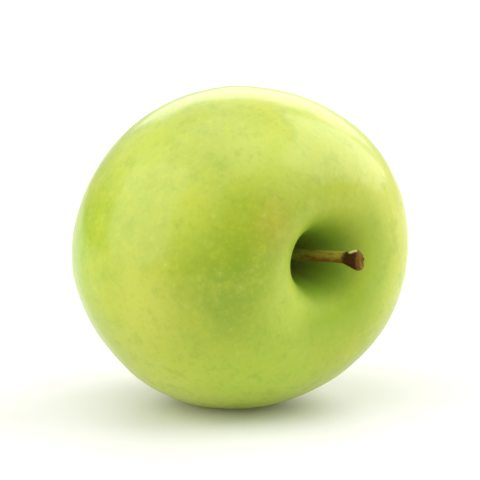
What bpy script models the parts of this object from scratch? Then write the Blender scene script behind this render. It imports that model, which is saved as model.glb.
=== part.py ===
"""A whole green apple that lies on its cheek: the body in its skin, the stem and the dried calyx.

Units are metres and +Z is up. Each piece is modelled upright on the apple's own axis, with the
stem end at +Z and the widest ring at height 0. One matrix then turns that axis level, so that the
apple rests on a small flat at height 0 of the world. The world's origin is the middle of the
body's bounding box, on the ground.
"""
import math

import bmesh
import bpy
from mathutils import Matrix, Vector

# Body, upright
NARROW_RADIUS = 0.0350          # the widest ring is a little out of round
OUT_OF_ROUND = 1.055            # its wide diameter over its narrow one
WIDE_TURN = math.radians(116)
TOP_HEIGHT = 0.0347             # widest ring to the top, before the cavity is sunk in it
BASE_HEIGHT = 0.0360            # widest ring to the base, before the basin is sunk in it
TOP_FULLNESS = 2.20             # 2 gives an ellipse, and more gives squarer shoulders
BASE_FULLNESS = 2.30
TAPER = 0.15                    # how much narrower the apple is at its base
HIGH_SHOULDER = 0.095           # one shoulder's rise for each metre from the axis
HIGH_SHOULDER_TURN = math.radians(-104)

# Stem cavity: a steep funnel in a wide dish
FUNNEL_DEPTH = 0.0175
FUNNEL_RADIUS = 0.0055
FLARE_DEPTH = 0.0066
FLARE_RADIUS = 0.0160

# Calyx basin, and the five lobes round it, one for each seed chamber
BASIN_DEPTH = 0.0098
BASIN_RADIUS = 0.0104
LOBES = 5
LOBE_SWELL = 0.012              # share of the radius
LOBE_DROP = 0.0007
LOBE_RING = 0.0150              # where the lobes stand lowest
LOBE_TURN = math.radians(20)

# Slow waves in the skin: share of the radius, bumps around, bumps from pole to pole, phase
WAVES = ((0.0035, 2, 3, 0.6), (0.0028, 3, 4, 2.1), (0.0018, 4, 5, 4.0))

# Stem
STEM_LENGTH = 0.0284            # with the root that is sunk in the body
STEM_ROOT_DEPTH = 0.0022
STEM_LEAN = (0.0013, -0.0036)   # how far the tip stands off the axis, in X and Y
STEM_DROOP = 0.0012             # how far the knob then bends back down
STEM_RADIUS = 0.00135
STEM_ROOT_FLARE = 0.35
STEM_KNOB_FLARE = 0.72          # the knob where the stem parted from the twig
STEM_KNOB_SHARE = 0.21          # of the length
STEM_STATIONS = 22

# Calyx: five dried sepals that stand on a small cup
CUP_RADIUS = 0.0032
CUP_HEIGHT = 0.0019
CUP_SUNK = 0.0013
POCKET_DEPTH_BELOW = 0.0024     # clears the sepals' roots
SEPAL_LENGTH = 0.0058
SEPAL_WIDTH = 0.0031
SEPAL_LEAN = 0.0019
SEPAL_CURL = 0.0015
SEPAL_THICKNESS = 0.0005
SEPAL_RING = 0.0022
SEPAL_ROWS = 8
SEPAL_COLUMNS = 4

# How the apple lies
LIE_TURN = math.radians(-47.0)  # its axis, from +X towards the viewer
LIE_RISE = math.radians(2.4)
REST_FLAT_DEPTH = 0.0009
REST_CUTTER_SIZE = 0.040

CLEARANCE = 0.0003              # between pieces that touch
RINGS = 50
SEGMENTS = 72
PROFILE_STEPS = 600
BEND_WEIGHT = 0.010             # crowds the rings where the skin bends

SKIN_COLOUR = (0.42, 0.56, 0.07, 1)
STEM_COLOUR = (0.19, 0.09, 0.03, 1)
CALYX_COLOUR = (0.13, 0.09, 0.04, 1)


def profile_point(latitude):
    """Radius and height of the round apple at a latitude from -90 (calyx) to +90 degrees (stem)."""
    sine, cosine = math.sin(latitude), max(math.cos(latitude), 0.0)
    if sine > 0:
        radius = NARROW_RADIUS * cosine ** (2 / TOP_FULLNESS)
        height = TOP_HEIGHT * sine ** (2 / TOP_FULLNESS)
        height -= FUNNEL_DEPTH * math.exp(-((radius / FUNNEL_RADIUS) ** 2))
        height -= FLARE_DEPTH * math.exp(-((radius / FLARE_RADIUS) ** 2))
    else:
        fall = (-sine) ** (2 / BASE_FULLNESS)
        radius = NARROW_RADIUS * cosine ** (2 / BASE_FULLNESS) * (1 - TAPER * fall ** 1.5)
        height = BASIN_DEPTH * math.exp(-((radius / BASIN_RADIUS) ** 2)) - BASE_HEIGHT * fall
    return radius, height


def skin_point(latitude, longitude):
    """The skin, with its lobes, waves and high shoulder."""
    radius, height = profile_point(latitude)
    towards_top = 0.5 + 0.5 * math.sin(latitude)
    lobe = math.cos(LOBES * (longitude - LOBE_TURN))
    swell = LOBE_SWELL * lobe * (1 - towards_top)
    for share, around, along, phase in WAVES:
        swell += share * math.cos(around * longitude + phase) * math.cos(along * latitude + phase)
    if latitude < 0:
        height -= LOBE_DROP * lobe * math.exp(-(((radius - LOBE_RING) / (0.5 * LOBE_RING)) ** 2))
    radius *= 1 + swell
    point = Vector((radius * math.cos(longitude), radius * math.sin(longitude), height))
    wide = Vector((math.cos(WIDE_TURN), math.sin(WIDE_TURN), 0))
    point += wide * point.dot(wide) * (OUT_OF_ROUND - 1)
    high = Vector((math.cos(HIGH_SHOULDER_TURN), math.sin(HIGH_SHOULDER_TURN), 0))
    point.z += HIGH_SHOULDER * point.dot(high) * towards_top
    return point


def ring_latitudes():
    """Latitudes of the mesh's rings, evenly spaced by the skin's length and its bending."""
    latitudes = [math.pi * (step / PROFILE_STEPS - 0.5) for step in range(PROFILE_STEPS + 1)]
    points = [Vector(profile_point(latitude)) for latitude in latitudes]
    travelled = [0.0]
    previous = points[1] - points[0]
    for start, end in zip(points, points[1:]):
        step = end - start
        travelled.append(travelled[-1] + step.length + BEND_WEIGHT * previous.angle(step, 0.0))
        previous = step
    rings, index = [], 0
    for ring in range(RINGS + 1):
        wanted = travelled[-1] * ring / RINGS
        while index < PROFILE_STEPS - 1 and travelled[index + 1] < wanted:
            index += 1
        share = (wanted - travelled[index]) / (travelled[index + 1] - travelled[index])
        rings.append(latitudes[index] + share * (latitudes[index + 1] - latitudes[index]))
    return rings


def collection(name):
    made = bpy.data.collections.new(name)
    bpy.context.scene.collection.children.link(made)
    return made


def material(name, colour, roughness):
    made = bpy.data.materials.new(name)
    made.use_nodes = True
    shader = made.node_tree.nodes["Principled BSDF"]
    shader.inputs["Base Color"].default_value = colour
    shader.inputs["Roughness"].default_value = roughness
    shader.inputs["Metallic"].default_value = 0.0
    return made


def mesh_object(name, mesh, into):
    """An object made from a bmesh, which is freed."""
    data = bpy.data.meshes.new(name)
    mesh.to_mesh(data)
    mesh.free()
    made = bpy.data.objects.new(name, data)
    into.objects.link(made)
    return made


def mark_cutter(piece):
    piece.hide_render = True
    piece.display_type = "WIRE"


def cut(piece, cutter):
    modifier = piece.modifiers.new("cut_" + cutter.name, "BOOLEAN")
    modifier.operation = "DIFFERENCE"
    modifier.object = cutter


def make_body(into):
    """A sphere whose rings and segments are moved to the skin."""
    latitudes = ring_latitudes()
    mesh = bmesh.new()
    bmesh.ops.create_uvsphere(mesh, u_segments=SEGMENTS, v_segments=RINGS, radius=1)
    for vertex in mesh.verts:
        ring = round(RINGS * (math.asin(max(-1.0, min(1.0, vertex.co.z))) / math.pi + 0.5))
        longitude = math.atan2(vertex.co.y, vertex.co.x)
        vertex.co = skin_point(latitudes[ring], longitude)
    body = mesh_object("body", mesh, into)
    body.data.shade_smooth()
    return body


def stem_point(share):
    """The stem's middle line, which leaves the funnel upright and then leans."""
    root = profile_point(math.pi / 2)[1] - STEM_ROOT_DEPTH
    lean = share ** 1.6
    up = STEM_LEAN[0] * lean - STEM_DROOP * share ** 8
    return Vector((up, STEM_LEAN[1] * lean, root + STEM_LENGTH * share))


def stem_radius(share):
    """A foot that flares at the root, a slim shank, and a knob with a rounded end."""
    foot = STEM_ROOT_FLARE * math.exp(-share / 0.08)
    knob = min(1.0, max(0.0, 1 - (1 - share) / STEM_KNOB_SHARE) * 1.25)
    knob = knob * knob * (3 - 2 * knob)
    rounding = math.sqrt(1 - 0.5 * max(0.0, (share - 0.94) / 0.06) ** 2)
    return STEM_RADIUS * (1 + foot + STEM_KNOB_FLARE * knob) * rounding


def make_stem(name, margin, into):
    """The stem as a tube along its middle line, grown by a margin."""
    curve = bpy.data.curves.new(name, "CURVE")
    curve.dimensions = "3D"
    curve.bevel_depth = 1.0
    curve.bevel_resolution = 4
    curve.use_fill_caps = True
    spline = curve.splines.new("POLY")
    spline.points.add(STEM_STATIONS)
    for index, point in enumerate(spline.points):
        share = index / STEM_STATIONS
        point.co = (*stem_point(share), 1)
        point.radius = stem_radius(share) + margin
    spline.points[0].co.z -= margin
    tube = bpy.data.objects.new(name + "_curve", curve)
    into.objects.link(tube)
    return curve_to_mesh(tube, name, into)


def curve_to_mesh(tube, name, into):
    """A welded mesh object in place of a curve object."""
    bpy.context.view_layer.update()
    data = bpy.data.meshes.new_from_object(tube.evaluated_get(bpy.context.evaluated_depsgraph_get()))
    mesh = bmesh.new()
    mesh.from_mesh(data)
    bmesh.ops.remove_doubles(mesh, verts=mesh.verts, dist=0.00001)
    made = mesh_object(name, mesh, into)
    made.matrix_world = tube.matrix_world.copy()
    bpy.data.objects.remove(tube)
    made.data.shade_smooth()
    return made


def sepal_point(across, along):
    """A sepal that leans in over the calyx tube, narrows, and curls its tip back outwards."""
    width = SEPAL_WIDTH * (1.15 - along ** 0.8)
    hollow = 0.0006 * (1 - 4 * across * across) * (1 - along)
    lean = SEPAL_LEAN * math.sin(1.95 * along)
    curl = SEPAL_CURL * along ** 4
    drop = SEPAL_LENGTH * along * (1 - 0.12 * along * along)
    return Vector((SEPAL_RING + hollow - lean + curl, width * across, drop))


def make_sepal(index, into):
    """One sepal, pointing down from the basin's floor."""
    mesh = bmesh.new()
    bmesh.ops.create_grid(mesh, x_segments=SEPAL_ROWS, y_segments=SEPAL_COLUMNS, size=0.5)
    for vertex in mesh.verts:
        vertex.co = sepal_point(vertex.co.y, vertex.co.x + 0.5)
    bmesh.ops.recalc_face_normals(mesh, faces=mesh.faces)
    turn = 2 * math.pi * index / LOBES + 0.3
    length_share = 1 + 0.08 * math.sin(2.4 * index)
    flip = Matrix.Diagonal((1, 1, -length_share, 1))
    bmesh.ops.transform(mesh, matrix=Matrix.Rotation(turn, 4, "Z") @ flip, verts=mesh.verts)
    bmesh.ops.reverse_faces(mesh, faces=mesh.faces)
    sepal = mesh_object(f"sepal_{index}", mesh, into)
    wall = sepal.modifiers.new("wall", "SOLIDIFY")
    wall.thickness = SEPAL_THICKNESS
    wall.offset = 0
    return sepal


def make_cup(name, margin, below, into):
    """The round cup that the sepals stand on, grown by a margin, with its floor at height 0."""
    depth = CUP_SUNK + margin + below
    mesh = bmesh.new()
    bmesh.ops.create_cone(mesh, cap_ends=True, segments=20, radius1=CUP_RADIUS + margin,
                          radius2=0.8 * CUP_RADIUS + margin, depth=depth)
    middle = (CUP_SUNK + margin - below) / 2
    bmesh.ops.translate(mesh, vec=(0, 0, middle), verts=mesh.verts)
    return mesh_object(name, mesh, into)


def make_calyx(into):
    """The cup and its five sepals, joined in one solid."""
    calyx = make_cup("calyx", 0.0, CUP_HEIGHT - CUP_SUNK, into)
    sepals = collection("sepals")
    for index in range(LOBES):
        make_sepal(index, sepals)
    join = calyx.modifiers.new("join", "BOOLEAN")
    join.operation = "UNION"
    join.operand_type = "COLLECTION"
    join.collection = sepals
    bpy.context.view_layer.update()
    data = bpy.data.meshes.new_from_object(calyx.evaluated_get(bpy.context.evaluated_depsgraph_get()))
    calyx.modifiers.clear()
    calyx.data = data
    for sepal in list(sepals.objects):
        bpy.data.objects.remove(sepal)
    bpy.data.collections.remove(sepals)
    return calyx


def lie_matrix():
    """Turns the upright apple so that its axis lies along LIE_TURN and rises by LIE_RISE."""
    level = math.cos(LIE_RISE)
    axis = Vector((math.cos(LIE_TURN) * level, math.sin(LIE_TURN) * level, math.sin(LIE_RISE)))
    up = Vector((0, 0, 1))
    first = (up - axis * up.dot(axis)).normalized()
    return Matrix((first, axis.cross(first), axis)).transposed().to_4x4()


def place_matrix(body):
    """The lying apple, moved so that its flat is at height 0 and its box is centred on the origin."""
    lie = lie_matrix()
    points = [lie @ vertex.co for vertex in body.data.vertices]
    low = Vector([min(point[axis] for point in points) for axis in range(3)])
    high = Vector([max(point[axis] for point in points) for axis in range(3)])
    middle = (low + high) / 2
    return Matrix.Translation((-middle.x, -middle.y, -low.z - REST_FLAT_DEPTH)) @ lie


for old in list(bpy.data.objects):
    bpy.data.objects.remove(old, do_unlink=True)
apple = collection("apple")
cutters = collection("cutters")

basin_floor = Matrix.Translation((0, 0, profile_point(-math.pi / 2)[1]))

body = make_body(apple)
stem = make_stem("stem", 0.0, apple)
calyx = make_calyx(apple)

stem_socket = make_stem("stem_socket", CLEARANCE, cutters)
calyx_pocket = make_cup("calyx_pocket", CLEARANCE, POCKET_DEPTH_BELOW, cutters)
rest_mesh = bmesh.new()
bmesh.ops.create_cube(rest_mesh, size=REST_CUTTER_SIZE)
rest_cutter = mesh_object("rest_cutter", rest_mesh, cutters)

place = place_matrix(body)
for piece in (body, stem, stem_socket):
    piece.matrix_world = place
for piece in (calyx, calyx_pocket):
    piece.matrix_world = place @ basin_floor
rest_cutter.location = (0, 0, -REST_CUTTER_SIZE / 2)

for cutter in (stem_socket, calyx_pocket, rest_cutter):
    mark_cutter(cutter)
    cut(body, cutter)

body.data.materials.append(material("skin", SKIN_COLOUR, 0.35))
stem.data.materials.append(material("stem", STEM_COLOUR, 0.7))
calyx.data.materials.clear()
calyx.data.materials.append(material("calyx", CALYX_COLOUR, 0.85))
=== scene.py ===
# %% [markdown]
# A whole green apple, lying on its cheek
#
# The real thing is a fresh green apple. Its skin is thin, waxy and full of small pale dots, and it
# is pulled in at both ends: a deep funnel where the stem grows out, and a shallow basin with the
# dried calyx, the five sepals of the flower.
#
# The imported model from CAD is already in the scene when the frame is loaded. It fixes the size and
# the place of three nodes: body, stem and calyx. This script puts a finer piece over each of them.
# All lengths are in metres.

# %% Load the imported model
import math
import random

import bmesh
import bpy
from mathutils import Matrix, Quaternion, Vector, noise


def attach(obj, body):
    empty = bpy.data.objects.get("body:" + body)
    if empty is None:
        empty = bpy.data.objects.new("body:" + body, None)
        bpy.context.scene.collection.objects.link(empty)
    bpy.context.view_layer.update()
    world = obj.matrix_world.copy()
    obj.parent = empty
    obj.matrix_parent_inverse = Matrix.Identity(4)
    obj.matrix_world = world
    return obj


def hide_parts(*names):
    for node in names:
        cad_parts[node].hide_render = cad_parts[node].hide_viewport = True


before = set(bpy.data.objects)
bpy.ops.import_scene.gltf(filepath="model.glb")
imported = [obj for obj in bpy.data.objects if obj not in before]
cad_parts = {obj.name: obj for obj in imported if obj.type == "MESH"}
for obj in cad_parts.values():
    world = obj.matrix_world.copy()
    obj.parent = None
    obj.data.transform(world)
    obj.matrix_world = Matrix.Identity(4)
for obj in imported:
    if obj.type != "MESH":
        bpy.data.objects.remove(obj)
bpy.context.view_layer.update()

print("nodes:", sorted(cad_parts))

# %% [markdown]
# How the apple lies
#
# It is easiest to shape an apple upright, with its stem end at +Z and its widest ring at height 0.
# One matrix then lays it on its cheek. The material uses the inverse of the same matrix, so that
# a pattern such as the streaks still runs from the stem to the calyx.

# %% The upright apple and the matrix that lays it down
LIE_TURN = math.radians(-47.0)
LIE_RISE = math.radians(2.4)
AXIS_MIDDLE = Vector((-0.00067, -0.00032, 0.03461))


def lie_matrix():
    """Turns the upright apple so that its axis lies along LIE_TURN and rises by LIE_RISE."""
    level = math.cos(LIE_RISE)
    axis = Vector((math.cos(LIE_TURN) * level, math.sin(LIE_TURN) * level, math.sin(LIE_RISE)))
    up = Vector((0, 0, 1))
    first = (up - axis * up.dot(axis)).normalized()
    return Matrix((first, axis.cross(first), axis)).transposed().to_4x4()


LAID = Matrix.Translation(AXIS_MIDDLE) @ lie_matrix()
UPRIGHT = LAID.inverted()
print("stem end points to", [round(value, 3) for value in LAID.to_3x3() @ Vector((0, 0, 1))])

# %% [markdown]
# The skin's profile
#
# Cut through the axis, an apple's outline is close to a squared-off ellipse, called a
# superellipse, that narrows a little towards the calyx. Sinking a bell curve into each end gives
# the stem's funnel and the basin. A formula like this is easier to fit to a real apple than a
# profile drawn by hand, because each number is one feature that can be measured.

# %% Profile of the round apple
NARROW_RADIUS = 0.0350
TOP_HEIGHT = 0.0347
BASE_HEIGHT = 0.0360
TOP_FULLNESS = 2.20
BASE_FULLNESS = 2.30
TAPER = 0.15
FUNNEL_DEPTH = 0.0175
FUNNEL_RADIUS = 0.0055
FLARE_DEPTH = 0.0066
FLARE_RADIUS = 0.0160
BASIN_DEPTH = 0.0098
BASIN_RADIUS = 0.0104


def bell(value, width):
    """1 in the middle, and close to 0 from twice the width outwards."""
    return math.exp(-((value / width) ** 2))


def profile_point(latitude):
    """Radius and height at a latitude from -90 degrees (calyx) to +90 degrees (stem)."""
    sine, cosine = math.sin(latitude), max(math.cos(latitude), 0.0)
    if sine > 0:
        radius = NARROW_RADIUS * cosine ** (2 / TOP_FULLNESS)
        height = TOP_HEIGHT * sine ** (2 / TOP_FULLNESS)
        height -= FUNNEL_DEPTH * bell(radius, FUNNEL_RADIUS)
        height -= FLARE_DEPTH * bell(radius, FLARE_RADIUS)
    else:
        fall = (-sine) ** (2 / BASE_FULLNESS)
        radius = NARROW_RADIUS * cosine ** (2 / BASE_FULLNESS) * (1 - TAPER * fall ** 1.5)
        height = BASIN_DEPTH * bell(radius, BASIN_RADIUS) - BASE_HEIGHT * fall
    return radius, height


print("the stem enters at height", round(profile_point(math.pi / 2)[1], 4))
print("the calyx sits at height", round(profile_point(-math.pi / 2)[1], 4))

# %% [markdown]
# Rings where they are needed
#
# Latitudes at even steps would crowd the rings at the poles and leave few on the lips of the
# funnel and the basin, where the skin bends most. So the profile is walked in small steps, and
# the rings are spaced by the distance walked plus a share for each bend.

# %% Latitudes of the rings
RINGS = 230
SEGMENTS = 300
PROFILE_STEPS = 3000
BEND_WEIGHT = 0.008


def ring_latitudes():
    """Latitudes spaced by the length and the bending of the skin between them."""
    latitudes = [math.pi * (step / PROFILE_STEPS - 0.5) for step in range(PROFILE_STEPS + 1)]
    points = [Vector(profile_point(latitude)) for latitude in latitudes]
    travelled = [0.0]
    previous = points[1] - points[0]
    for start, end in zip(points, points[1:]):
        step = end - start
        travelled.append(travelled[-1] + step.length + BEND_WEIGHT * previous.angle(step, 0.0))
        previous = step
    rings, index = [], 0
    for ring in range(RINGS + 1):
        wanted = travelled[-1] * ring / RINGS
        while index < PROFILE_STEPS - 1 and travelled[index + 1] < wanted:
            index += 1
        share = (wanted - travelled[index]) / (travelled[index + 1] - travelled[index])
        rings.append(latitudes[index] + share * (latitudes[index + 1] - latitudes[index]))
    return rings


RING_LATITUDES = ring_latitudes()
print("rings:", len(RING_LATITUDES))

# %% [markdown]
# From a round body to a real apple
#
# A spun profile looks like a plastic apple. A grown one is a little out of round, has one high
# shoulder, and shows five low lobes round the calyx, one for each seed chamber. Slow waves
# run over its cheeks, the funnel's wall has soft folds, and the basin is puckered. All of this
# is moved into the mesh itself, so that it shows in the outline and in the highlights.

# %% Lobes, waves, folds and the high shoulder
OUT_OF_ROUND = 1.055
WIDE_TURN = math.radians(116)
HIGH_SHOULDER = 0.095
HIGH_SHOULDER_TURN = math.radians(-104)
LOBES = 5
LOBE_SWELL = 0.012
LOBE_DROP = 0.0007
LOBE_RING = 0.0150
LOBE_TURN = math.radians(20)
WAVES = ((0.0035, 2, 3, 0.6), (0.0028, 3, 4, 2.1), (0.0018, 4, 5, 4.0))
FOLDS = 9
FOLD_DEPTH = 0.00022
FOLD_RING = 0.0048
FOLD_WIDTH = 0.0022
PUCKERS = 10
PUCKER_DEPTH = 0.00035
DENT_SIZE = 0.0085
DENT_DEPTH = 0.00016
GRAIN_SIZE = 0.0016
GRAIN_DEPTH = 0.000018


def round_direction(turn):
    return Vector((math.cos(turn), math.sin(turn), 0))


def skin_point(latitude, longitude):
    """The skin of the upright apple, without its finest relief."""
    radius, height = profile_point(latitude)
    towards_top = 0.5 + 0.5 * math.sin(latitude)
    lobe = math.cos(LOBES * (longitude - LOBE_TURN))
    swell = LOBE_SWELL * lobe * (1 - towards_top)
    for share, around, along, phase in WAVES:
        swell += share * math.cos(around * longitude + phase) * math.cos(along * latitude + phase)
    if latitude < 0:
        height -= LOBE_DROP * lobe * bell(radius - LOBE_RING, 0.5 * LOBE_RING)
        pucker = math.cos(PUCKERS * longitude + 1.5 * math.sin(2 * longitude))
        height += PUCKER_DEPTH * (1 - pucker) * bell(radius - 0.0075, 0.0040)
    else:
        fold = math.cos(FOLDS * longitude + 2.2 * math.sin(longitude + 1))
        height += FOLD_DEPTH * (fold - 1) * bell(radius - FOLD_RING, FOLD_WIDTH)
    radius *= 1 + swell
    point = round_direction(longitude) * radius + Vector((0, 0, height))
    wide = round_direction(WIDE_TURN)
    point += wide * point.dot(wide) * (OUT_OF_ROUND - 1)
    point.z += HIGH_SHOULDER * point.dot(round_direction(HIGH_SHOULDER_TURN)) * towards_top
    return point


def relief(point):
    """How far the skin is sunk at a point: shallow dents, and a grain like that of orange peel."""
    dent = noise.noise(point / DENT_SIZE) - 0.5
    grain = noise.noise(point / GRAIN_SIZE) - 0.5
    return DENT_DEPTH * dent + GRAIN_DEPTH * grain


shoulder = skin_point(math.radians(45), HIGH_SHOULDER_TURN)
print("a point on the high shoulder:", [round(value, 4) for value in shoulder])

# %% [markdown]
# Spinning the body
#
# The profile's points are joined into one edge chain from pole to pole. Spinning the chain a full
# turn makes all the faces, and each copy of a point keeps its latitude in a layer of its own,
# so every vertex can then be moved to the grown shape. What would be below the floor is pressed
# flat, because ripe flesh gives a little under the apple's own weight.

# %% Body mesh
def spun_profile():
    """A bmesh of the round apple, with each vertex's latitude in a layer."""
    mesh = bmesh.new()
    layer = mesh.verts.layers.float.new("latitude")
    previous = None
    for latitude in RING_LATITUDES:
        radius, height = profile_point(latitude)
        vertex = mesh.verts.new((radius, 0, height))
        vertex[layer] = latitude
        if previous:
            mesh.edges.new((previous, vertex))
        previous = vertex
    bmesh.ops.spin(mesh, geom=mesh.verts[:] + mesh.edges[:], axis=(0, 0, 1), cent=(0, 0, 0),
                   angle=2 * math.pi, steps=SEGMENTS, use_merge=True)
    poles = [vertex for vertex in mesh.verts if vertex.co.xy.length < 1e-7]
    bmesh.ops.remove_doubles(mesh, verts=poles, dist=1e-6)
    bmesh.ops.recalc_face_normals(mesh, faces=mesh.faces)
    return mesh, layer


def finished_object(name, mesh):
    """An object made from a bmesh in the upright frame, laid on its cheek."""
    bmesh.ops.transform(mesh, matrix=LAID, verts=mesh.verts)
    data = bpy.data.meshes.new(name)
    mesh.to_mesh(data)
    mesh.free()
    data.shade_smooth()
    piece = bpy.data.objects.new(name, data)
    bpy.context.scene.collection.objects.link(piece)
    print(name, "has", len(data.polygons), "faces")
    return piece


def make_body():
    mesh, layer = spun_profile()
    for vertex in mesh.verts:
        longitude = math.atan2(vertex.co.y, vertex.co.x)
        vertex.co = skin_point(vertex[layer], longitude)
    mesh.normal_update()
    sunk = [vertex.normal * relief(vertex.co) for vertex in mesh.verts]
    for vertex, move in zip(mesh.verts, sunk):
        vertex.co += move
    body = finished_object("apple_body", mesh)
    for vertex in body.data.vertices:
        vertex.co.z = max(vertex.co.z, 0.0)
    return body


body = make_body()
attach(body, "root")
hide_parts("body")

# %% [markdown]
# Writing a material as sums
#
# A skin is layers: a ground colour, broad patches, streaks, dots, and the green of the funnel.
# Each layer is a mask between 0 and 1, and the masks are easier to read as sums than as a web of
# nodes. So one small class wraps a socket. A sum on it adds Math nodes, vector() adds maths on
# places, and node() adds any other kind. Colours go through a Mix node, because a Math node turns
# them grey.

# %% A socket that can be used in sums
class Signal:
    """A socket of a material's node tree."""

    def __init__(self, tree, socket):
        self.tree = tree
        self.socket = socket

    def node(self, kind, settings, inputs, output=0):
        """Adds a node of any kind, sets it up, feeds it, and gives one of its outputs."""
        made = self.tree.nodes.new(kind)
        for name, value in settings.items():
            setattr(made, name, value)
        for name, value in inputs.items():
            if isinstance(value, Signal):
                self.tree.links.new(value.socket, made.inputs[name])
            else:
                made.inputs[name].default_value = value
        return Signal(self.tree, made.outputs[output])

    def math(self, operation, *values):
        inputs = dict(enumerate(values))
        return self.node("ShaderNodeMath", {"operation": operation}, inputs)

    def __add__(self, other):
        return self.math("ADD", self, other)

    def __radd__(self, other):
        return self.math("ADD", other, self)

    def __sub__(self, other):
        return self.math("SUBTRACT", self, other)

    def __rsub__(self, other):
        return self.math("SUBTRACT", other, self)

    def __mul__(self, other):
        return self.math("MULTIPLY", self, other)

    def __rmul__(self, other):
        return self.math("MULTIPLY", other, self)

    def __truediv__(self, other):
        return self.math("DIVIDE", self, other)

    def __rtruediv__(self, other):
        return self.math("DIVIDE", other, self)

    def __pow__(self, other):
        return self.math("POWER", self, other)

    def __rpow__(self, other):
        return self.math("POWER", other, self)

    def step(self, start, end):
        """0 up to start and 1 from end on, with a soft rise between them. It falls if end is less."""
        inputs = {"Value": self, "From Min": start, "From Max": end}
        return self.node("ShaderNodeMapRange", {"interpolation_type": "SMOOTHSTEP"}, inputs)

    def bell(self, middle, width):
        """1 at the middle, falling to 0 on both sides."""
        away = (self - middle) / width
        return self.math("EXPONENT", away * away * -1.0)

    def noise(self, size, detail=2.0, roughness=0.5, stretch=None):
        """Soft noise around 0.5 with patches of about this size in metres."""
        place = self.stretched(stretch) if stretch else self
        inputs = {"Vector": place, "Scale": 1 / size, "Detail": detail, "Roughness": roughness}
        return self.node("ShaderNodeTexNoise", {}, inputs)

    def vector(self, operation, *values, output="Vector"):
        """Maths on places and directions."""
        inputs = dict(enumerate(values))
        return self.node("ShaderNodeVectorMath", {"operation": operation}, inputs, output)

    def moved(self, by):
        """A place, moved by a vector."""
        return self.vector("ADD", self, by)

    def stretched(self, factors):
        """A place, with its X, Y and Z multiplied."""
        return self.vector("MULTIPLY", self, factors)

    def unit(self):
        """The same direction with a length of 1."""
        return self.vector("NORMALIZE", self)

    def distance(self, place):
        """How far one place is from another."""
        return self.vector("DISTANCE", self, place, output="Value")

    def towards(self, aim):
        """About 1 where a direction is the same as another, and -1 where it is opposite."""
        return self.vector("DOT_PRODUCT", self, aim, output="Value")

    def bumped(self, strength, distance):
        """A normal for a surface that stands higher where this is larger."""
        inputs = {"Strength": strength, "Distance": distance, "Height": self}
        return self.node("ShaderNodeBump", {}, inputs)

    def dots(self, spacing, smallest, largest):
        """Round dots: 1 inside, with radii up to largest, as shares of the spacing."""
        inputs = {"Vector": self, "Scale": 1 / spacing, "Randomness": 0.9}
        distance = self.node("ShaderNodeTexVoronoi", {}, inputs, output="Distance")
        return distance.step(largest, smallest)

    def part(self, axis):
        """The X, Y or Z of a place."""
        return self.node("ShaderNodeSeparateXYZ", {}, {"Vector": self}, output=axis)

    def over(self, colour, below):
        """As a mask: this colour where the mask is 1, and what is below it where it is 0."""
        mix = {"data_type": "RGBA", "clamp_factor": True}
        return self.node("ShaderNodeMix", mix, {0: self, 6: below, 7: colour}, output=2)


def rgb(red, green, blue):
    """A colour as a picture stores it, from 0 to 255, turned into the light that shaders use."""
    linear = [((value / 255 + 0.055) / 1.055) ** 2.4 for value in (red, green, blue)]
    return (*linear, 1.0)


def new_material(name):
    """A material, its shader, and the object coordinates as a Signal."""
    made = bpy.data.materials.new(name)
    made.use_nodes = True
    tree = made.node_tree
    shader = tree.nodes["Principled BSDF"]
    place = Signal(tree, tree.nodes.new("ShaderNodeTexCoord").outputs["Object"])
    return made, shader, place


def upright_coordinates(place):
    """Object coordinates turned to the upright apple's."""
    inputs = {"Vector": place, "Location": UPRIGHT.translation, "Rotation": UPRIGHT.to_euler()}
    return place.node("ShaderNodeMapping", {}, inputs)


def feed(shader, **signals):
    """Links signals to the shader's sockets, with a space for each underscore."""
    for name, signal in signals.items():
        signal.tree.links.new(signal.socket, shader.inputs[name.replace("_", " ")])


print("128 of 255 in a picture is", round(rgb(128, 128, 128)[0], 3), "of the full light")

# %% [markdown]
# The skin's colour
#
# Apple green isn't one colour. The cheek is yellow green, with patches that are more yellow and
# patches that are greener, and faint streaks from end to end. Small pale dots, the lenticels,
# are where the skin breathes: many and fine near the calyx, fewer and larger near the stem. In
# the funnel, where little sun comes, the skin is a deep green, with some tan russet at the root.

# %% Skin: ground colour and patches
skin, skin_shader, skin_place = new_material("apple_skin")
upright = upright_coordinates(skin_place)
height = upright.part("Z")
radius = (upright.part("X") ** 2 + upright.part("Y") ** 2) ** 0.5

GROUND = rgb(162, 178, 28)
YELLOW = rgb(186, 194, 44)
LEAF_GREEN = rgb(128, 159, 10)
PATCH_SIZE = 0.020
patches = upright.noise(PATCH_SIZE, detail=3.0, roughness=0.55)
colour = (patches.step(0.50, 0.72) * 0.55).over(YELLOW, GROUND)
colour = (patches.step(0.50, 0.28) * 0.45).over(LEAF_GREEN, colour)
print("broad patches of about", round(1000 * PATCH_SIZE), "mm")
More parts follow.
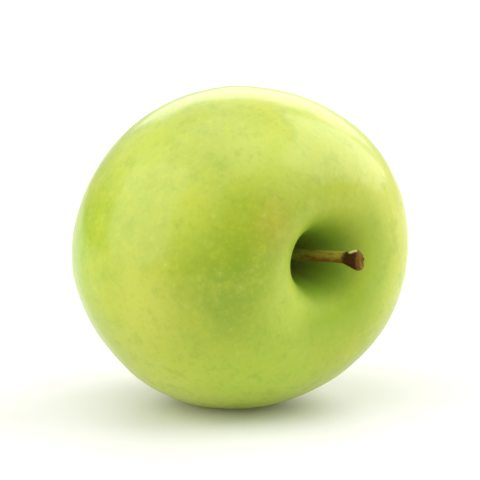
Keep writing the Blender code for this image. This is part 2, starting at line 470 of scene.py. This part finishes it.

# %% [markdown]
# Cheeks, and painted light and shade
#
# The cheek that faced the sun is more yellow, and next to the funnel's mouth the skin is darker.
# The rest is painted light and shade: greener painted shade on the front, painted light from the
# floor low down, painted reflections along the left and right rims, and painted sheen on the crown,
# across the top and on the funnel's lower lip. The straw cheeks at both sides are yellower skin and
# painted light together. Such areas have no edge, so each is a soft bell round a place on the skin,
# with a reach, a strength and a colour. The broad patches push its border in and out, because a true
# disc of colour would look sprayed on.
#
# The places are those on the apple as it lies. UPRIGHT turns them to the material's coordinates.

# %% Skin: cheeks
PALE = rgb(216, 228, 98)
OCHRE = rgb(186, 160, 44)
STRAW = rgb(222, 216, 100)
LIME = rgb(148, 190, 12)
FRESH_GREEN = rgb(172, 204, 50)
# the colour of painted sheen
PALE_SHEEN_GREEN = rgb(186, 196, 124)
CHEEK_WANDER = 0.02
CHEEKS = {
    # painted light from the floor: the skin is paler low down
    "painted_bounce_underside": ((-0.0060, -0.0160, 0.0040), 0.0190, 0.90, PALE),
    # painted shade: greener on the front of the apple and above it
    "painted_front_shade": ((-0.0050, -0.0360, 0.0310), 0.0145, 0.85, LEAF_GREEN),
    "painted_upper_shade": ((-0.0010, -0.0330, 0.0450), 0.0120, 0.35, LEAF_GREEN),
    # painted sheen: paler on the funnel's lower lip
    "painted_low_lip_sheen": ((0.0106, -0.0292, 0.0279), 0.0060, 0.35, PALE),
    # painted reflections: lime along the left rim and pale along the right rim
    "painted_left_rim_reflection": ((-0.0335, -0.0120, 0.0330), 0.0130, 0.45, LIME),
    "painted_right_rim_reflection": ((0.0340, -0.0080, 0.0260), 0.0100, 0.35, PALE),
    "mouth_shade": ((0.0222, -0.0160, 0.0475), 0.0060, 0.40, LEAF_GREEN),
    "lip_shade": ((0.0133, -0.0240, 0.0503), 0.0080, 0.42, LEAF_GREEN),
    # painted sheen: a pale veil on the crown
    "painted_crown_sheen": ((0.0000, -0.0110, 0.0675), 0.0180, 0.35, PALE_SHEEN_GREEN),
    "sun_cheek": ((0.0220, -0.0080, 0.0620), 0.0200, 0.60, YELLOW),
    "blush_spot": ((0.0073, -0.0313, 0.0467), 0.0045, 0.35, OCHRE),
    # yellower skin and painted light together: paler at both sides
    "yellow_and_lit_left_cheek": ((-0.0200, -0.0300, 0.0275), 0.0120, 0.40, STRAW),
    "yellow_and_lit_right_cheek": ((0.0330, -0.0100, 0.0420), 0.0130, 0.40, STRAW),
    # painted light from the floor: a fresher green at the bottom
    "painted_bounce_bottom": ((0.0035, -0.0260, 0.0100), 0.0150, 0.70, FRESH_GREEN),
    # painted sheen: pale veils across the top, at the front and behind
    "painted_top_sheen": ((0.0069, -0.0236, 0.0592), 0.0090, 0.30, PALE),
    "painted_near_sheen": ((-0.0113, -0.0309, 0.0484), 0.0090, 0.30, PALE),
    "painted_back_sheen": ((-0.0219, -0.0140, 0.0589), 0.0090, 0.30, PALE),
}
wander = (patches - 0.5) * CHEEK_WANDER
for name, (middle, reach, strength, tint) in CHEEKS.items():
    away = upright.distance(UPRIGHT @ Vector(middle)) + wander
    colour = (away.bell(0, reach) * strength).over(tint, colour)
    print(name, "fades out over", round(1000 * reach, 1), "mm")

# %% [markdown]
# Mottling and flecks
#
# Seen close, the green is still uneven. Two more noises of the same two colours are laid over it,
# one with spots of about 4 mm and one with flecks of about 1 mm, and both stay faint.

# %% Skin: mottling and flecks
mottle = upright.noise(0.0042, detail=5.0, roughness=0.65)
colour = (mottle.step(0.51, 0.66) * 0.36).over(YELLOW, colour)
colour = (mottle.step(0.49, 0.34) * 0.26).over(LEAF_GREEN, colour)
flecks = upright.noise(0.0013, detail=3.0, roughness=0.6)
colour = (flecks.step(0.54, 0.68) * 0.22).over(YELLOW, colour)
colour = (flecks.step(0.46, 0.32) * 0.15).over(LEAF_GREEN, colour)
print("skin nodes so far:", len(skin.node_tree.nodes))

# %% [markdown]
# Streaks
#
# The direction round the axis is the same all the way from the stem to the calyx, so a noise that
# reads it gives streaks from end to end. A little of the height is added to it, so that a streak
# also changes along its length and doesn't look ruled.

# %% Skin: streaks from end to end
STREAK_CHANGE = 6
around = upright.stretched((1, 1, 0)).unit()
streak_place = around.moved(upright.stretched((0, 0, STREAK_CHANGE)))
streaks = streak_place.noise(0.085, detail=1.0, roughness=0.5)
on_cheek = radius.step(0.008, 0.020)
colour = (streaks.step(0.50, 0.74) * on_cheek * 0.20).over(YELLOW, colour)
print("skin nodes so far:", len(skin.node_tree.nodes))

# %% [markdown]
# Dots
#
# A Voronoi texture gives the distance to the nearest of many scattered points, and a step on that
# distance gives round dots. The large dots have a faint halo, the fine ones grow denser towards
# the calyx, and a layer of soft darker specks lies between them.

# %% Skin: pale dots
DOT_CREAM = rgb(196, 204, 92)
SPECK_SHIFT = (0.004, 0.007, 0.002)
LARGE_SPACING = 0.0036
speckles = upright.dots(0.0015, 0.10, 0.42)
colour = (speckles * on_cheek * 0.13).over(DOT_CREAM, colour)
dark_specks = upright.moved(SPECK_SHIFT).dots(0.0019, 0.05, 0.40)
colour = (dark_specks * on_cheek * 0.10).over(LEAF_GREEN, colour)
large_dots = upright.dots(LARGE_SPACING, 0.060, 0.115)
fine_dots = upright.dots(0.0017, 0.10, 0.22)
dots = large_dots.math("MAXIMUM", large_dots * 0.75, fine_dots * height.step(0.030, -0.020) * 0.5)
halo = upright.dots(LARGE_SPACING, 0.10, 0.42)
colour = (halo * 0.12).over(DOT_CREAM, colour)
colour = (dots * on_cheek * 0.38).over(DOT_CREAM, colour)
print("skin nodes so far:", len(skin.node_tree.nodes))

# %% [markdown]
# Funnel and basin
#
# What lies round the axis is painted by the distance from it: a step colours a disc, and a bell
# colours a ring. The near lip of the funnel gets a paler ring, a painted sheen, and the far side a
# darker green ring, a painted shade, so their rings also read which way the skin faces round the
# axis. The russet is broken up by noise, as a net of fine cracks would be.

# %% Skin: the funnel and its lips, the russet, and the basin
MOSS_GREEN = rgb(114, 160, 12)
FUNNEL_GREEN = rgb(90, 144, 20)
DEEP_OLIVE = rgb(128, 140, 42)
RUSSET = rgb(128, 104, 46)
LIP_SIDE = UPRIGHT.to_3x3() @ Vector((-0.58, -0.54, 0.61))
at_top = height.step(0.0, 0.004)
at_base = height.step(-0.010, -0.020)
towards_lip_side = around.towards(LIP_SIDE)
# painted sheen: a paler ring on the funnel's near lip
painted_lip_sheen = radius.bell(0.0118, 0.0024) * towards_lip_side.step(0.0, 0.8) * at_top
colour = (painted_lip_sheen * 0.10).over(PALE_SHEEN_GREEN, colour)
# painted shade: a darker green ring on the funnel's far side
painted_far_shade = towards_lip_side.step(0.3, -0.5) * at_top
colour = (radius.bell(0.0135, 0.0050) * painted_far_shade * 0.45).over(MOSS_GREEN, colour)
in_funnel = radius.step(0.0125, 0.0035) * at_top
colour = (in_funnel * 0.8).over(FUNNEL_GREEN, colour)
deep = radius.step(0.0075, 0.0042) * at_top
colour = (deep * 0.5).over(DEEP_OLIVE, colour)
russet_net = upright.noise(0.0022, detail=5.0, roughness=0.7, stretch=(1, 1, 0.35))
russet = radius.step(0.0060, 0.0022) * at_top * russet_net.step(0.42, 0.60)
colour = (russet * 0.8).over(RUSSET, colour)
in_basin = radius.step(0.0110, 0.0030) * at_base
colour = (in_basin * 0.55).over(LEAF_GREEN, colour)
base_russet = radius.step(0.0065, 0.0030) * at_base * russet_net.step(0.50, 0.66)
colour = (base_russet * 0.7).over(RUSSET, colour)
feed(skin_shader, Base_Color=colour)
print("skin nodes so far:", len(skin.node_tree.nodes))

# %% [markdown]
# The skin's gloss
#
# A fresh apple has a natural wax: the gloss is soft, and the reflection of a lamp breaks up at its
# edges on the skin's grain. So the roughness is middling, it varies with the mottling, and a
# fine bump tops up the relief that is already in the mesh. The wax itself is a thin clear coat,
# smoother than the skin below it, which ends at the funnel's mouth, where the skin is dull.

# %% Skin: gloss and grain
in_mouth = radius.step(0.0155, 0.0108) * at_top
roughness = 0.34 + mottle * 0.08 + dots * 0.10 + in_mouth * 0.25
grain = upright.noise(0.0009, detail=2.0) + upright.noise(0.0026, detail=2.0) * 1.6 + dots * 0.3
bump = grain.bumped(strength=0.35, distance=0.00006)
feed(skin_shader, Roughness=roughness, Coat_Weight=(1 - in_mouth) * 0.42, Normal=bump)
skin_shader.inputs["IOR"].default_value = 1.40
skin_shader.inputs["Coat Roughness"].default_value = 0.14
skin_shader.inputs["Coat IOR"].default_value = 1.40
body.data.materials.append(skin)
print("skin nodes:", len(skin.node_tree.nodes))

# %% [markdown]
# The stem
#
# A stem is a dry stalk with grooves along it, thicker where it grows out of the fruit and again at
# the knob where it left the twig. A tall thin cylinder, cut into many rings, is bent and swollen
# by the same formulas as the CAD solid, with the grooves and the knob's scar worked in.

# %% Stem form
STEM_LENGTH = 0.0284
STEM_ROOT_DEPTH = 0.0022
STEM_LEAN = (0.0013, -0.0036)
STEM_DROOP = 0.0012
STEM_RADIUS = 0.00135
STEM_ROOT_FLARE = 0.35
STEM_KNOB_FLARE = 0.72
STEM_KNOB_SHARE = 0.21
STEM_SLANT = 0.60
STEM_SIDES = 48
STEM_CUTS = 130
GROOVES = 7
GROOVE_DEPTH = 0.055


def stem_point(share):
    """The stem's middle line, from the root at 0 to the knob's end at 1."""
    root = profile_point(math.pi / 2)[1] - STEM_ROOT_DEPTH
    lean = share ** 1.6
    up = STEM_LEAN[0] * lean - STEM_DROOP * share ** 8
    return Vector((up, STEM_LEAN[1] * lean, root + STEM_LENGTH * share))


def stem_radius(share):
    """A foot that flares at the root, a slim shank, and a knob with a rounded end."""
    foot = STEM_ROOT_FLARE * math.exp(-share / 0.08)
    knob = min(1.0, max(0.0, 1 - (1 - share) / STEM_KNOB_SHARE) * 1.25)
    knob = knob * knob * (3 - 2 * knob)
    rounding = math.sqrt(1 - 0.5 * max(0.0, (share - 0.94) / 0.06) ** 2)
    return STEM_RADIUS * (1 + foot + STEM_KNOB_FLARE * knob) * rounding


def stem_surface(share, angle, inner):
    """A point on the stem. inner is 1 on its side, and less towards the middle of an end."""
    groove = 0.5 - 0.5 * math.cos(GROOVES * angle + 3 * share + 0.6 * math.sin(14 * share))
    wrinkle = noise.noise(Vector((4 * math.cos(angle), 4 * math.sin(angle), 34 * share)))
    sunk = GROOVE_DEPTH * groove + 0.05 * (0.5 + 0.5 * wrinkle)
    radius = stem_radius(share) * (1 - sunk) * inner
    offset = Vector((math.cos(angle), math.sin(angle), 0)) * radius
    at_end = max(0.0, (share - 0.86) / 0.14)
    slant = STEM_SLANT * at_end * (stem_radius(share) - offset.y)
    ragged = 0.00030 * at_end * noise.noise(offset / 0.0007)
    scar = 0.0008 * (1 - inner * inner) if share > 0.5 else 0.0
    return stem_point(share) + offset - Vector((0, 0, scar + slant + ragged))


print("shank", round(2000 * stem_radius(0.5), 2), "mm, knob", round(2000 * stem_radius(0.94), 2), "mm")

# %% Stem mesh
def make_stem():
    mesh = bmesh.new()
    bmesh.ops.create_cone(mesh, cap_ends=True, segments=STEM_SIDES, radius1=1, radius2=1, depth=1)
    upright_edges = [e for e in mesh.edges if abs(e.verts[0].co.z - e.verts[1].co.z) > 0.5]
    bmesh.ops.subdivide_edges(mesh, edges=upright_edges, cuts=STEM_CUTS, use_grid_fill=True)
    for _ in range(5):
        ends = [face for face in mesh.faces if len(face.verts) == STEM_SIDES]
        bmesh.ops.inset_individual(mesh, faces=ends, thickness=0.17)
    for vertex in mesh.verts:
        angle = math.atan2(vertex.co.y, vertex.co.x)
        vertex.co = stem_surface(vertex.co.z + 0.5, angle, min(1.0, vertex.co.xy.length))
    bmesh.ops.recalc_face_normals(mesh, faces=mesh.faces)
    return finished_object("apple_stem", mesh)


stem = make_stem()
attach(stem, "root")
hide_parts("stem")

# %% [markdown]
# The stem's bark
#
# Its bark is olive and lighter on its upper side, partly its own colour and partly painted light
# from above, red brown below, and dark brown at the knob. The cut end is dry and tan with a darker
# rim, and a cream spot on top of the knob is a painted highlight. Each of these is found by a height
# or a distance, pushed about by spots, and fine fibres run along it all.

# %% Stem material
bark, bark_shader, bark_place = new_material("stem_bark")
bark_upright = upright_coordinates(bark_place)
bark_side = bark_upright.part("X")
bark_height = bark_upright.part("Z")
OLIVE = rgb(150, 138, 48)
RED_BROWN = rgb(112, 76, 20)
KNOB_BROWN = rgb(54, 30, 4)
DRY_TAN = rgb(126, 92, 32)
ROOT_GREEN = rgb(152, 158, 58)
# the colour of a painted highlight on the knob
HIGHLIGHT_CREAM = rgb(188, 186, 104)
STEM_END = stem_point(1.0)
TIP_HEIGHT = STEM_END.z
# the place of a painted highlight on top of the knob
KNOB_HIGHLIGHT = stem_point(0.90) + Vector((stem_radius(0.90), 0.0004, 0))
fibres = bark_upright.noise(0.0006, detail=4.0, roughness=0.65, stretch=(1, 1, 0.12))
spots = bark_upright.noise(0.0014, detail=3.0)
# painted light: the upper side is olive and lighter, partly the bark's own colour
olive_and_lit_side = (bark_side + (spots - 0.5) * 0.002).step(-0.0001, 0.0013)
bark_colour = olive_and_lit_side.over(OLIVE, RED_BROWN)
knob_mask = (bark_height + (spots - 0.5) * 0.002).step(TIP_HEIGHT - 0.0060, TIP_HEIGHT - 0.0040)
bark_colour = knob_mask.over(KNOB_BROWN, bark_colour)
KNOB_EDGE = STEM_LEAN[1] + STEM_RADIUS * (1 + STEM_KNOB_FLARE)
cut_height = bark_height + (KNOB_EDGE - bark_upright.part("Y")) * STEM_SLANT
dry_end = cut_height.step(TIP_HEIGHT - 0.0010, TIP_HEIGHT - 0.0004)
across_end = bark_upright.stretched((1, 1, 0)).distance((STEM_END.x, STEM_END.y, 0))
rim = (across_end + (spots - 0.5) * 0.0012).step(0.0013, 0.0020)
bark_colour = (dry_end * (1 - rim * 0.50)).over(DRY_TAN, bark_colour)
pith = bark_upright.noise(0.0004, detail=3.0, roughness=0.7)
bark_colour = (dry_end * pith.step(0.50, 0.62) * 0.55).over(RED_BROWN, bark_colour)
root_mask = bark_height.step(TIP_HEIGHT - 0.0120, TIP_HEIGHT - 0.0200)
bark_colour = (root_mask * 0.8).over(ROOT_GREEN, bark_colour)
bark_colour = (fibres.step(0.55, 0.75) * 0.25).over(DRY_TAN, bark_colour)
bark_colour = (fibres.step(0.48, 0.30) * 0.7).over(KNOB_BROWN, bark_colour)
# painted highlight: a cream spot on top of the knob
from_knob_highlight = bark_upright.distance(KNOB_HIGHLIGHT)
bark_colour = (from_knob_highlight.step(0.0013, 0.0008) * 0.9).over(HIGHLIGHT_CREAM, bark_colour)
bark_bump = fibres.bumped(strength=0.6, distance=0.0001)
feed(bark_shader, Base_Color=bark_colour, Roughness=0.55 + fibres * 0.2, Normal=bark_bump)
bark_shader.inputs["IOR"].default_value = 1.18
stem.data.materials.append(bark)
print("bark nodes:", len(bark.node_tree.nodes))

# %% [markdown]
# The calyx
#
# At the other end the five sepals of the flower have dried over a small tube that still holds the
# stamens, and grey down grows on them. Each sepal starts as a flat grid, which is bent to lean in
# over the tube and curl out at its tip. It then gets a real thickness, so that it is a solid.

# %% Calyx sizes
CALYX_FLOOR = profile_point(-math.pi / 2)[1]
CUP_RADIUS = 0.0032
CUP_TOP = 0.0005
CUP_SUNK = 0.0013
SEPAL_LENGTH = 0.0058
SEPAL_WIDTH = 0.0031
SEPAL_LEAN = 0.0019
SEPAL_CURL = 0.0015
SEPAL_RING = 0.0022
SEPAL_THICKNESS = 0.00034
STAMENS = 14
STAMEN_RING = 0.0012
STAMEN_THICKNESS = 0.00013
STAMEN_TURNS = (-0.15, 0.15)
STAMEN_TILTS = (-0.25, 0.05)
STAMEN_LENGTHS = (0.0032, 0.0044)
STAMEN_BENDS = (-0.0006, 0.0003)
DOWN_HAIRS = 260
HAIR_FOOT = 0.0003
HAIR_THICKNESS = 0.000035
HAIR_REACHES = (0.0020, 0.0031)
HAIR_TILTS = (-0.5, 1.0)
HAIR_LENGTHS = (0.0009, 0.0017)
HAIR_BENDS = (-0.0003, 0.0004)


def calyx_place(turn):
    """From a piece's own axes, with +Z out of the basin, to its place at a turn round the calyx."""
    outwards = Matrix.Diagonal((1, 1, -1, 1))
    return Matrix.Translation((0, 0, CALYX_FLOOR)) @ Matrix.Rotation(turn, 4, "Z") @ outwards


def sepal_point(across, along):
    """A sepal that leans in over the calyx tube, narrows, and curls its tip back outwards."""
    width = SEPAL_WIDTH * (1.15 - along ** 0.8)
    hollow = 0.0006 * (1 - 4 * across * across) * (1 - along)
    lean = SEPAL_LEAN * math.sin(1.95 * along)
    curl = SEPAL_CURL * along ** 4
    drop = SEPAL_LENGTH * along * (1 - 0.12 * along * along)
    return Vector((SEPAL_RING + hollow - lean + curl, width * across, drop))


print("the calyx floor is at height", round(CALYX_FLOOR, 4))

# %% Sepals
def join(whole, piece):
    """Adds a finished bmesh to another one, and frees it."""
    data = bpy.data.meshes.new("piece")
    piece.to_mesh(data)
    piece.free()
    whole.from_mesh(data)
    bpy.data.meshes.remove(data)


def add_sepal(calyx, index):
    sepal = bmesh.new()
    bmesh.ops.create_grid(sepal, x_segments=24, y_segments=12, size=0.5)
    for vertex in sepal.verts:
        across, along = vertex.co.y, vertex.co.x + 0.5
        crease = Vector((5 * across, 4 * along, 3.7 * index))
        vertex.co = sepal_point(across * (1 + 0.10 * noise.noise(crease)), along)
        vertex.co.x += 0.00035 * noise.noise(crease * 2.1) * along
        vertex.co.x -= 0.00012 * math.cos(math.pi * 6 * across)
    bmesh.ops.recalc_face_normals(sepal, faces=sepal.faces)
    bmesh.ops.solidify(sepal, geom=sepal.faces, thickness=SEPAL_THICKNESS)
    size = 1 + 0.08 * math.sin(2.4 * index)
    place = calyx_place(2 * math.pi * index / LOBES + 0.3) @ Matrix.Diagonal((1, 1, size, 1))
    bmesh.ops.transform(sepal, matrix=place, verts=sepal.verts)
    join(calyx, sepal)


# %% Cup, stamens and down
def add_cup(calyx):
    cup = bmesh.new()
    bmesh.ops.create_cone(cup, cap_ends=True, segments=60, radius1=0.8 * CUP_RADIUS,
                          radius2=CUP_RADIUS, depth=CUP_SUNK + CUP_TOP)
    place = calyx_place(0) @ Matrix.Translation((0, 0, (CUP_TOP - CUP_SUNK) / 2))
    bmesh.ops.transform(cup, matrix=place, verts=cup.verts)
    join(calyx, cup)


def add_strand(calyx, place, length, thickness, bend, sides, rings):
    """A thin strand from its own origin along +Z, bent towards +X and thin at its end."""
    strand = bmesh.new()
    bmesh.ops.create_cone(strand, cap_ends=True, segments=sides, radius1=thickness,
                          radius2=thickness * 0.3, depth=length)
    long_edges = [edge for edge in strand.edges if edge.calc_length() > length / 2]
    bmesh.ops.subdivide_edges(strand, edges=long_edges, cuts=rings)
    for vertex in strand.verts:
        along = vertex.co.z / length + 0.5
        vertex.co += Vector((bend * along * along, 0, length / 2))
    bmesh.ops.transform(strand, matrix=place, verts=strand.verts)
    join(calyx, strand)


def make_calyx():
    rng = random.Random(5)
    calyx = bmesh.new()
    add_cup(calyx)
    for index in range(LOBES):
        add_sepal(calyx, index)
    for index in range(STAMENS):
        turn = 2 * math.pi * index / STAMENS + rng.uniform(*STAMEN_TURNS)
        tilt = Matrix.Rotation(rng.uniform(*STAMEN_TILTS), 4, "Y")
        place = calyx_place(turn) @ Matrix.Translation((STAMEN_RING, 0, 0)) @ tilt
        length, bend = rng.uniform(*STAMEN_LENGTHS), rng.uniform(*STAMEN_BENDS)
        add_strand(calyx, place, length, STAMEN_THICKNESS, bend, sides=6, rings=5)
    for _ in range(DOWN_HAIRS):
        turn = rng.uniform(0, 2 * math.pi)
        reach = rng.uniform(*HAIR_REACHES)
        tilt = Matrix.Rotation(rng.uniform(*HAIR_TILTS), 4, "Y")
        place = calyx_place(turn) @ Matrix.Translation((reach, 0, HAIR_FOOT)) @ tilt
        length, bend = rng.uniform(*HAIR_LENGTHS), rng.uniform(*HAIR_BENDS)
        add_strand(calyx, place, length, HAIR_THICKNESS, bend, sides=3, rings=2)
    bmesh.ops.recalc_face_normals(calyx, faces=calyx.faces)
    return finished_object("apple_calyx", calyx)


calyx = make_calyx()
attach(calyx, "root")
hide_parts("calyx")

# %% [markdown]
# The calyx's finish
#
# Dried sepals are warm and dark brown in patches, with grey down along their veins, and darker
# at the tips. They have no gloss left, so they are rough and reflect little.

# %% Calyx material
dry, dry_shader, dry_place = new_material("dried_sepals")
dry_upright = upright_coordinates(dry_place)
DARK_BROWN = rgb(66, 44, 24)
WARM_BROWN = rgb(118, 82, 38)
GREY_DOWN = rgb(158, 146, 112)
veins = dry_upright.noise(0.0007, detail=4.0, roughness=0.7, stretch=(1, 1, 0.3))
patch = dry_upright.noise(0.0018, detail=2.0)
out_of_basin = dry_upright.part("Z").step(CALYX_FLOOR - 0.0020, CALYX_FLOOR - 0.0055)
dry_colour = patch.step(0.35, 0.68).over(WARM_BROWN, DARK_BROWN)
dry_colour = (veins.step(0.52, 0.72) * 0.55).over(GREY_DOWN, dry_colour)
dry_colour = (out_of_basin * 0.55).over(DARK_BROWN, dry_colour)
dry_shader.inputs["IOR"].default_value = 1.25
dry_bump = veins.bumped(strength=0.7, distance=0.00012)
feed(dry_shader, Base_Color=dry_colour, Roughness=0.7 + veins * 0.25, Normal=dry_bump)
calyx.data.materials.append(dry)
print("calyx nodes:", len(dry.node_tree.nodes))

# %% [markdown]
# The floor
#
# The floor is white and nearly matt, so that no light shows in it as a glare. It has a faint
# yellowish glow of its own, which stands for the warm light that reaches into a soft shadow.

# %% Floor
FLOOR_WHITE = (0.71, 0.71, 0.70, 1)
FLOOR_GLOW = (1.0, 1.0, 0.50, 1)
FLOOR_GLOW_STRENGTH = 0.045


def make_floor():
    mesh = bmesh.new()
    bmesh.ops.create_grid(mesh, x_segments=8, y_segments=8, size=6)
    data = bpy.data.meshes.new("floor")
    mesh.to_mesh(data)
    mesh.free()
    floor = bpy.data.objects.new("floor", data)
    bpy.context.scene.collection.objects.link(floor)
    white, shader, place = new_material("white_floor")
    shader.inputs["Base Color"].default_value = FLOOR_WHITE
    shader.inputs["Emission Color"].default_value = FLOOR_GLOW
    shader.inputs["Emission Strength"].default_value = FLOOR_GLOW_STRENGTH
    shader.inputs["Specular IOR Level"].default_value = 0.15
    feed(shader, Roughness=0.48 + place.noise(0.05) * 0.1)
    floor.data.materials.append(white)


make_floor()
print("floor glow:", FLOOR_GLOW_STRENGTH)

# %% [markdown]
# Lights
#
# The light is that of a bright studio: large soft lights at both sides, above, and behind. They
# show in the skin as broad pale areas on the left, on top and on the right, with a darker green
# left between them, and as a thin pale line round the top edge.

# %% Lights
TARGET = Vector((0, 0, 0.036))


def add_softbox(name, place, size, power, roll=0.0):
    """A flat soft light that faces the apple. A roll turns it in its own plane."""
    light = bpy.data.lights.new(name, "AREA")
    light.shape = "RECTANGLE"
    light.size, light.size_y = size
    light.energy = power
    holder = bpy.data.objects.new(name, light)
    bpy.context.scene.collection.objects.link(holder)
    holder.location = place
    facing = (TARGET - Vector(place)).to_track_quat("-Z", "Y")
    holder.rotation_euler = (facing @ Quaternion((0, 0, 1), roll)).to_euler()
    print(name, "gives", power, "W")


add_softbox("left_softbox", (-1.04, -0.22, 0.58), (1.15, 1.25), 9.6, math.radians(28))
add_softbox("right_softbox", (0.92, 0.30, 0.72), (1.4, 1.1), 12.2)
add_softbox("top_softbox", (-0.22, -0.14, 1.15), (1.5, 1.1), 6.2)
add_softbox("back_softbox", (0.1, 1.35, 0.60), (1.4, 0.6), 5.0)

# %% [markdown]
# The air round the apple
#
# A world of plain white would light the shadows evenly and flatten the form. So the air is dimmer
# on the camera's side and in a low corner behind on the left, and it glows a little round the
# side lights, which blurs the edges of their reflections.

# %% White air
FRONT_AIR = 0.40
BACK_AIR = 0.66
DARK_CORNER = Vector((-0.80, 0.50, -0.33))
CORNER_EDGES = (0.72, 0.94)
CORNER_DIMMING = 0.80
GLOW_EDGES = (0.55, 1.0)
RIGHT_GLOW = (Vector((0.80, 0.10, 0.58)), 0.50)
LEFT_GLOW = (Vector((-0.70, -0.45, 0.55)), 0.25)


def make_world():
    """White air, whose strength depends only on the direction in which it is seen."""
    world = bpy.data.worlds.new("studio_air")
    world.use_nodes = True
    tree = world.node_tree
    direction = Signal(tree, tree.nodes.new("ShaderNodeTexCoord").outputs["Generated"])
    air = direction.part("Y").step(-0.8, 0.8) * (BACK_AIR - FRONT_AIR) + FRONT_AIR
    air = air * (1 - direction.towards(DARK_CORNER).step(*CORNER_EDGES) * CORNER_DIMMING)
    for aim, strength in (RIGHT_GLOW, LEFT_GLOW):
        air = air + direction.towards(aim).step(*GLOW_EDGES) * strength
    background = tree.nodes["Background"]
    background.inputs["Color"].default_value = (1, 1, 1, 1)
    tree.links.new(air.socket, background.inputs["Strength"])
    bpy.context.scene.world = world


make_world()
bpy.context.scene.view_settings.view_transform = "Standard"
print("air from", FRONT_AIR, "in front to", BACK_AIR, "behind")

# %% [markdown]
# The camera
#
# The camera looks down by 12 degrees through a long lens, which keeps the apple's proportions. Its
# focal length is worked out from the width that the frame should show at the apple's distance.

# %% Camera
CAMERA_RISE = math.radians(12)
CAMERA_DISTANCE = 1.10
FRAME_WIDTH = 0.106
SENSOR_WIDTH = 36.0


def make_camera():
    lens = bpy.data.cameras.new("camera")
    lens.sensor_width = SENSOR_WIDTH
    lens.lens = SENSOR_WIDTH * CAMERA_DISTANCE / FRAME_WIDTH
    lens.clip_start = 0.01
    camera = bpy.data.objects.new("camera", lens)
    bpy.context.scene.collection.objects.link(camera)
    back = Vector((0, -math.cos(CAMERA_RISE), math.sin(CAMERA_RISE)))
    camera.location = TARGET + back * CAMERA_DISTANCE
    camera.rotation_euler = (-back).to_track_quat("-Z", "Y").to_euler()
    bpy.context.scene.camera = camera
    print("lens:", round(lens.lens), "mm")


make_camera()
